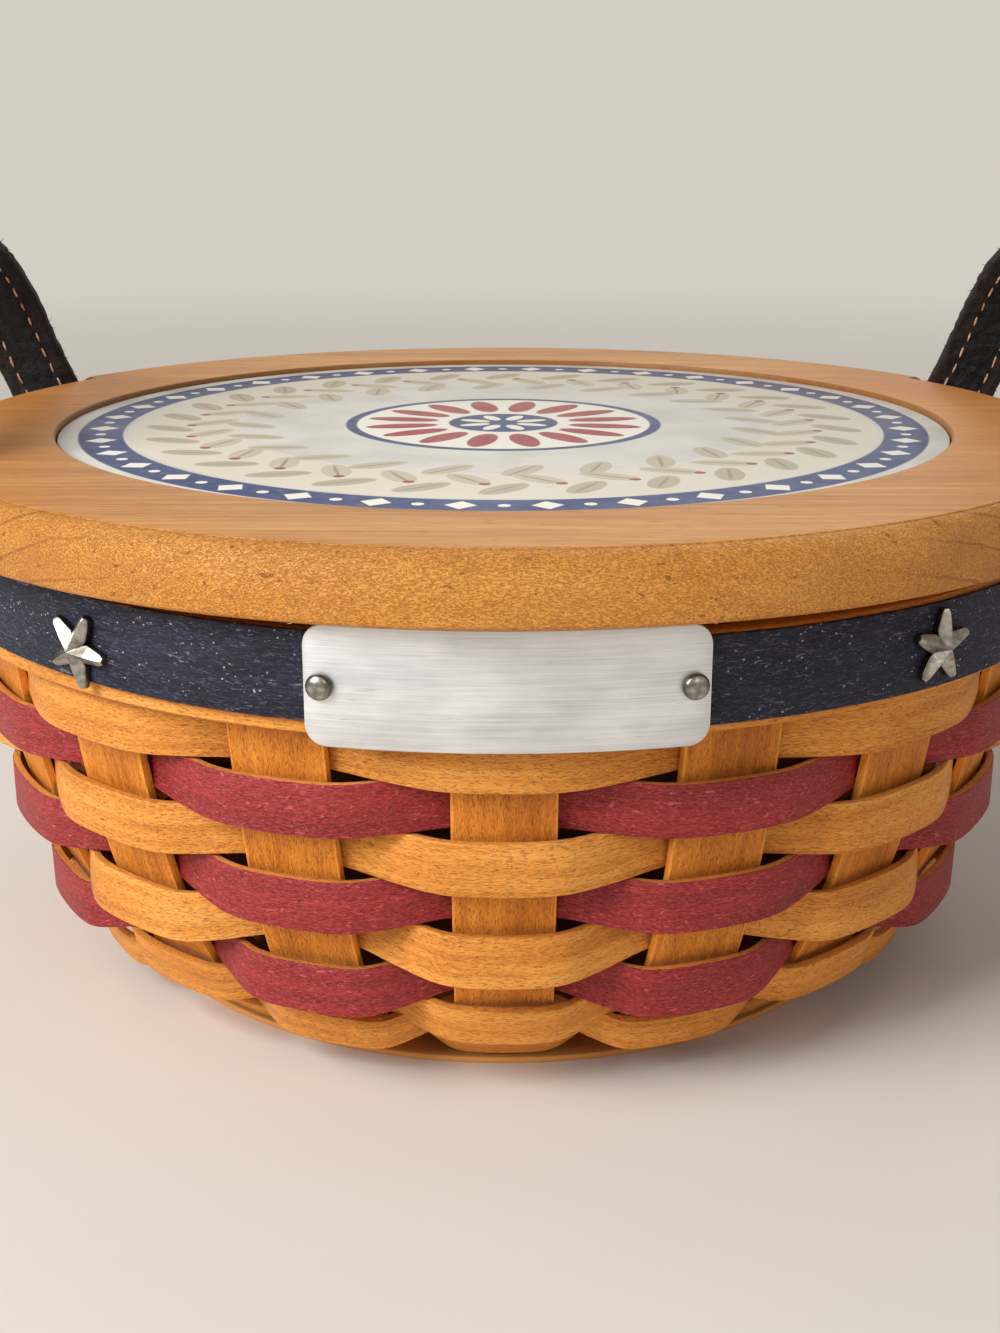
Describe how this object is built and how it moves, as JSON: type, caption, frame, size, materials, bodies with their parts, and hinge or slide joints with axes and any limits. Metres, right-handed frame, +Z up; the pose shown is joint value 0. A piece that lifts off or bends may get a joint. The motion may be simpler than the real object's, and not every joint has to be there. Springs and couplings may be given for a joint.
{
  "type": "splint basket",
  "caption": "Round woven splint basket with a lift-off turned wooden lid, painted rim trim, star studs, a blank front plate and leather loop handles that fold outwards.",
  "frame": {"origin": "centre of the base's underside, on the plane it stands on", "axes": "+Z up, front plate towards -Y, one leather handle at each end of X"},
  "size_m": [0.2574, 0.2364, 0.1475],
  "materials": {
    "natural_splint": "satin varnished splint",
    "stave_splint": "satin varnished splint",
    "red_splint": "dyed splint",
    "navy_trim": "matt paint, worn",
    "lid_wood": "satin turned maple",
    "panel_print": "printed board",
    "plate_aluminium": "brushed",
    "pewter": "cast, dull",
    "leather": "rough split, stitched"
  },
  "bodies": {
    "basket": {"base_disc": "lid_wood", "inner_rim_band": "natural_splint", "outer_rim_band": "natural_splint", "trim_band": "navy_trim", "front_plate": "plate_aluminium", "stave_01": "stave_splint", "stave_02": "stave_splint", "stave_03": "stave_splint", "stave_04": "stave_splint", "stave_05": "stave_splint", "stave_06": "stave_splint", "stave_07": "stave_splint", "stave_08": "stave_splint", "stave_09": "stave_splint", "stave_10": "stave_splint", "stave_11": "stave_splint", "stave_12": "stave_splint", "stave_13": "stave_splint", "stave_14": "stave_splint", "stave_15": "stave_splint", "stave_16": "stave_splint", "stave_17": "stave_splint", "stave_18": "stave_splint", "weaver_1": "natural_splint", "weaver_2": "red_splint", "weaver_3": "natural_splint", "weaver_4": "red_splint", "weaver_5": "natural_splint", "weaver_6": "red_splint", "weaver_7": "natural_splint", "weaver_8": "natural_splint", "weaver_9": "natural_splint", "star_stud_1": "pewter", "star_stud_2": "pewter", "star_stud_3": "pewter", "star_stud_4": "pewter", "plate_rivet_left": "pewter", "plate_rivet_right": "pewter", "left_handle_front_rivet": "pewter", "left_handle_back_rivet": "pewter", "right_handle_front_rivet": "pewter", "right_handle_back_rivet": "pewter", "left_handle_front_tab": "leather", "left_handle_back_tab": "leather", "right_handle_front_tab": "leather", "right_handle_back_tab": "leather"},
    "lid": {"lid_board": "lid_wood", "lid_panel": "panel_print", "lid_locating_disc": "lid_wood"},
    "left_handle": {"left_handle_loop": "leather"},
    "right_handle": {"right_handle_loop": "leather"}
  },
  "joints": [
    {"name": "lid_lift", "type": "slide", "parent": "basket", "child": "lid", "axis": [0, 0, 1], "range_m": [0, 0.12]},
    {"name": "left_handle_fold", "type": "hinge", "parent": "basket", "child": "left_handle", "pos_m": [-0.106, 0, 0.0888], "axis": [0, -1, 0], "range_deg": [0, 75], "stiffness_Nm_per_rad": 0.05, "springref_deg": -1.72},
    {"name": "right_handle_fold", "type": "hinge", "parent": "basket", "child": "right_handle", "pos_m": [0.106, 0, 0.0888], "axis": [0, 1, 0], "range_deg": [0, 75], "stiffness_Nm_per_rad": 0.05, "springref_deg": -1.72}
  ]
}
